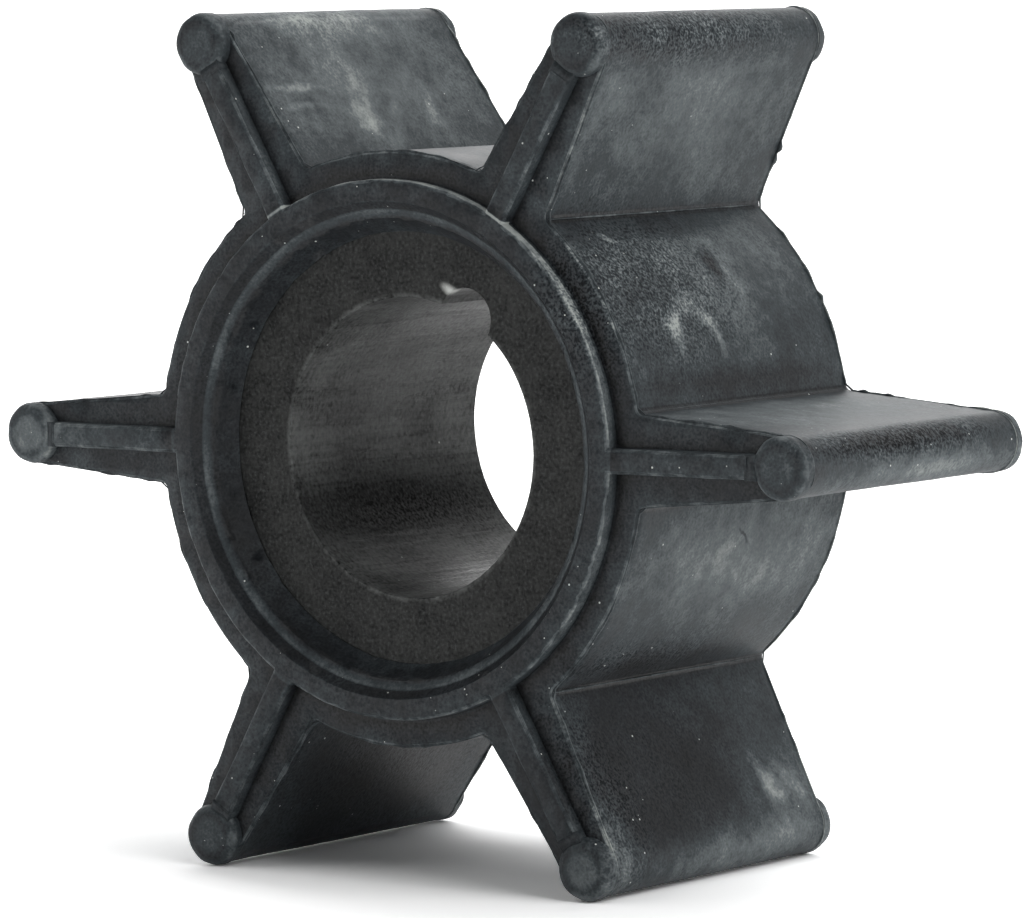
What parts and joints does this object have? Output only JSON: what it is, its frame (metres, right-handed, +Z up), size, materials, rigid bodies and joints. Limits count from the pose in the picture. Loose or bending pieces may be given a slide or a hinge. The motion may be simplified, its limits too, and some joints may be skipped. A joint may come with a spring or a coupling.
{
  "type": "rubber pump impeller",
  "caption": "Flexible rubber pump impeller whose vanes run straight along its barrel, moulded over a keyed hub bush that a drive shaft turns.",
  "frame": {"origin": "on the shaft axis, midway between the faces of the front and rear sealing rings", "axes": "+Y along the shaft axis towards the rear end, +Z up, +X to the right seen from the front; the part stands on the tips of two neighbouring vanes"},
  "size_m": [0.0402, 0.0164, 0.035],
  "materials": {
    "rubber": "moulded charcoal nitrile rubber, satin, with a fine orange-peel skin",
    "bush": "matt black moulded plastic, smooth in the bore"
  },
  "bodies": {
    "root": {"impeller_rubber": "rubber", "hub_bush": "bush"}
  },
  "joints": []
}
